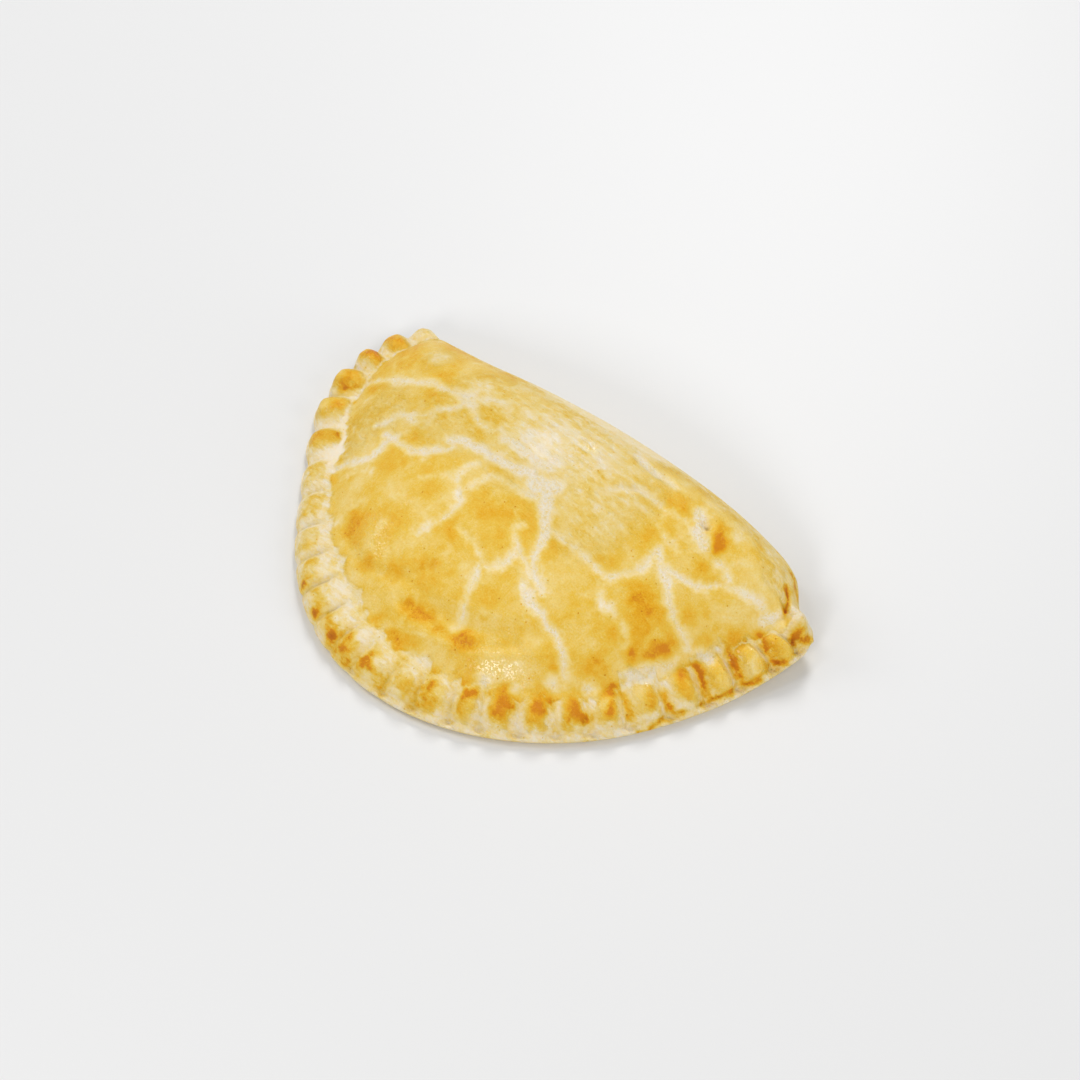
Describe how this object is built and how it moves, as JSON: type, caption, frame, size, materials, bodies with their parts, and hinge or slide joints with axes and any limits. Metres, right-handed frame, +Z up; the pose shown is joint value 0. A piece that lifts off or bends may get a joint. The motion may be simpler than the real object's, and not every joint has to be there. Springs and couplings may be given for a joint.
{
  "type": "pasty",
  "caption": "Baked half-moon pasty with a domed, egg-washed crust folded over its filling and a finger-crimped rim along the round side.",
  "frame": {"origin": "centre of the bounding box, on the surface that the pasty lies on", "axes": "+X along the fold from the left tip to the right tip, -Y towards the crimped rim, +Z up"},
  "size_m": [0.18, 0.118, 0.0364],
  "materials": {
    "crust": "baked shortcrust: mottled golden egg wash over pale dough, browner on the crimps, softly glossy"
  },
  "bodies": {
    "root": {"pasty": "crust"}
  },
  "joints": []
}
